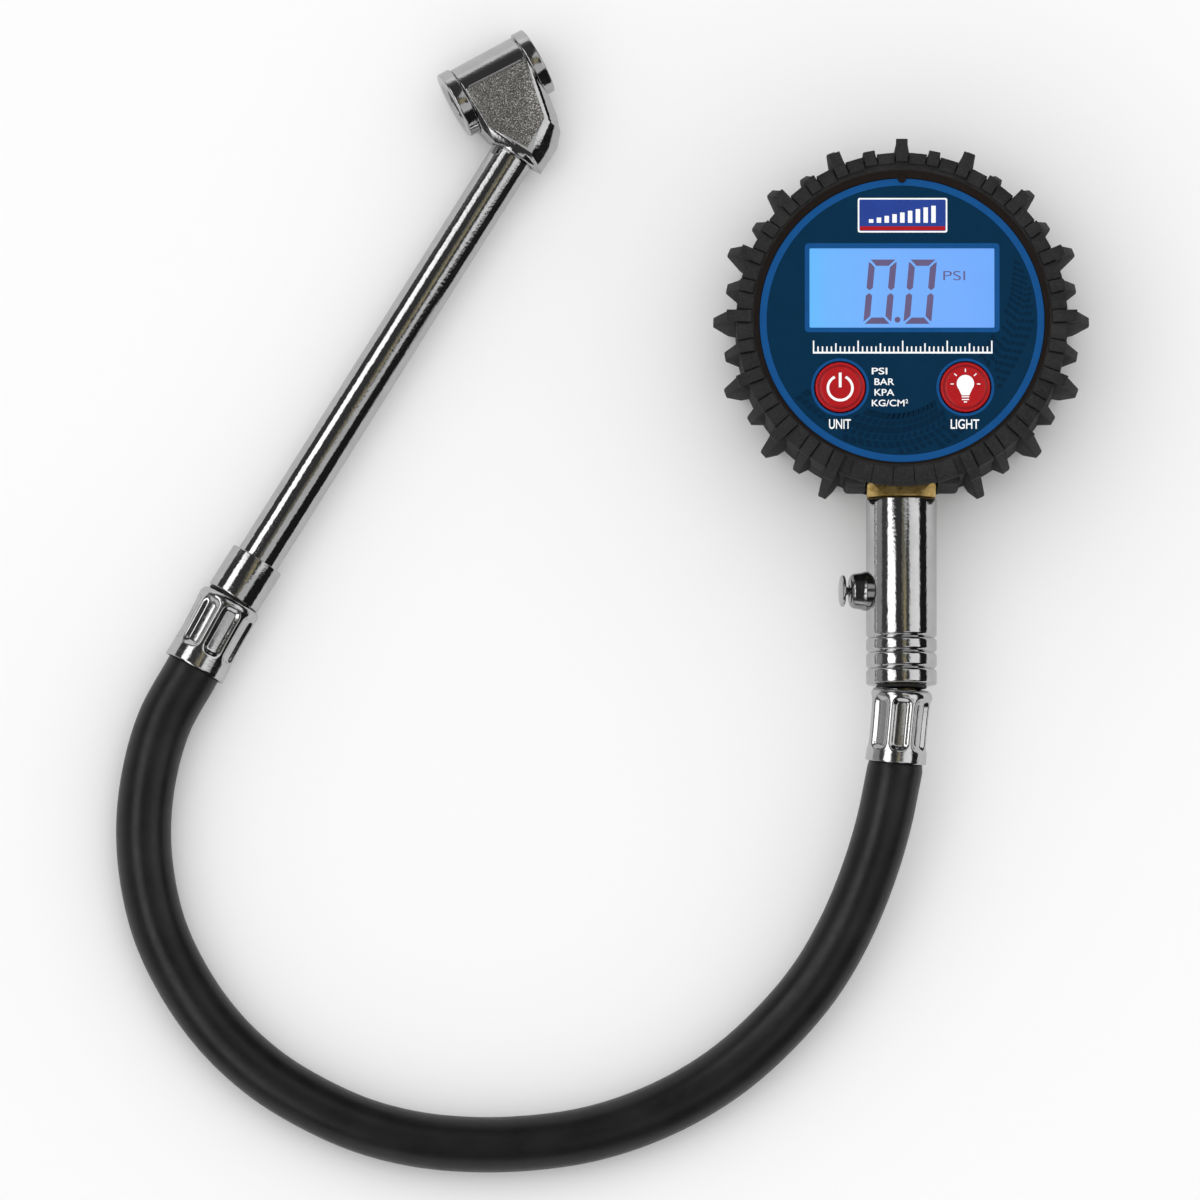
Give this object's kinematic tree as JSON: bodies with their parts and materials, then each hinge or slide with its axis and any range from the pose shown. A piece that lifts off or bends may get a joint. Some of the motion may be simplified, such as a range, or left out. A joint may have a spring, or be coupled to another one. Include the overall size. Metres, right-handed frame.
{
  "type": "tyre pressure gauge",
  "caption": "Digital tyre pressure gauge in a lugged rubber boot, with a bleed valve, a swivelling rubber hose and a rigid wand that ends in a twin push-on chuck.",
  "frame": {"origin": "on the axis of the round gauge head, in the plane of its back, on which it lies", "axes": "+Z out of the display, +Y from the centre of the display to its top (away from the hose), +X to the right as the display is read"},
  "size_m": [0.219, 0.2581, 0.036],
  "materials": {
    "boot_rubber": "matte moulded",
    "hose_rubber": "smooth satin",
    "seal_rubber": "satin",
    "case_plastic": "fine texture",
    "overlay_print": "printed polycarbonate",
    "key_red": "domed",
    "display_blue": "backlit liquid crystal",
    "display_glass": "smooth",
    "light_guide": "smooth",
    "board_green": "solder mask",
    "switch_black": "moulded",
    "cell_jacket": "wrapped",
    "screw_steel": "zinc plated",
    "spring_steel": "plain",
    "stem_brass": "machined",
    "bright_chrome": "polished",
    "dark_chrome": "polished",
    "ferrule_plate": "zinc plated, pressed"
  },
  "bodies": {
    "gauge_head": {"rubber_boot": "boot_rubber", "case_shell": "case_plastic", "front_cover": "case_plastic", "face_overlay": "overlay_print", "lcd_window": "display_blue", "lcd_panel": "display_glass", "backlight_panel": "light_guide", "power_switch": "switch_black", "light_switch": "switch_black", "circuit_board": "board_green", "battery_tray": "case_plastic", "battery_1": "cell_jacket", "battery_2": "cell_jacket", "battery_contact_1": "spring_steel", "battery_contact_2": "spring_steel", "battery_door": "case_plastic", "door_screw": "screw_steel", "case_screw_1": "screw_steel", "case_screw_2": "screw_steel", "case_screw_3": "screw_steel", "case_screw_4": "screw_steel", "brass_stem": "stem_brass", "stem_seal": "seal_rubber", "pressure_sensor": "screw_steel", "valve_body": "bright_chrome", "bleed_bushing": "dark_chrome", "bleed_spring": "spring_steel"},
    "power_key": {"power_button": "key_red"},
    "light_key": {"light_button": "key_red"},
    "bleed_plunger": {"bleed_button": "bright_chrome", "bleed_seal": "seal_rubber"},
    "hose_assembly": {"hose_nipple_gauge": "stem_brass", "swivel_seal_gauge": "seal_rubber", "ferrule_gauge": "ferrule_plate", "hose": "hose_rubber", "ferrule_wand": "ferrule_plate", "hose_nipple_wand": "stem_brass", "swivel_seal_wand": "seal_rubber"},
    "wand": {"wand_sleeve": "bright_chrome", "wand_tube": "bright_chrome", "chuck_body": "bright_chrome", "chuck_cap_front": "bright_chrome", "chuck_cap_back": "bright_chrome", "chuck_seal_front": "seal_rubber", "chuck_seal_back": "seal_rubber", "chuck_spring": "spring_steel"},
    "front_depressor": {"depressor_front": "stem_brass"},
    "back_depressor": {"depressor_back": "stem_brass"}
  },
  "joints": [
    {"name": "power_press", "type": "slide", "parent": "gauge_head", "child": "power_key", "axis": [0, 0, -1], "range_m": [0, 0.0005], "stiffness_N_per_m": 900, "springref_m": -0.0006},
    {"name": "light_press", "type": "slide", "parent": "gauge_head", "child": "light_key", "axis": [0, 0, -1], "range_m": [0, 0.0005], "stiffness_N_per_m": 900, "springref_m": -0.0006},
    {"name": "bleed_press", "type": "slide", "parent": "gauge_head", "child": "bleed_plunger", "axis": [0.9903, 0, -0.1392], "range_m": [0, 0.001], "stiffness_N_per_m": 1200, "springref_m": -0.0012, "deforming": ["bleed_spring"]},
    {"name": "hose_swivel", "type": "hinge", "parent": "gauge_head", "child": "hose_assembly", "pos_m": [0, -0.0807, 0.0175], "axis": [0, 1, 0], "continuous": true},
    {"name": "wand_swivel", "type": "hinge", "parent": "hose_assembly", "child": "wand", "pos_m": [-0.1505, -0.0603, 0.0076], "axis": [0.5314, 0.8471, 0], "continuous": true},
    {"name": "front_depressor_press", "type": "slide", "parent": "wand", "child": "front_depressor", "axis": [-0.8723, -0.4843, 0.0677], "range_m": [0, 0.0012], "stiffness_N_per_m": 900, "springref_m": -0.0012, "deforming": ["chuck_spring"]},
    {"name": "back_depressor_press", "type": "slide", "parent": "wand", "child": "back_depressor", "axis": [0.8723, 0.4843, -0.0677], "range_m": [0, 0.0012], "stiffness_N_per_m": 900, "springref_m": -0.0012}
  ]
}
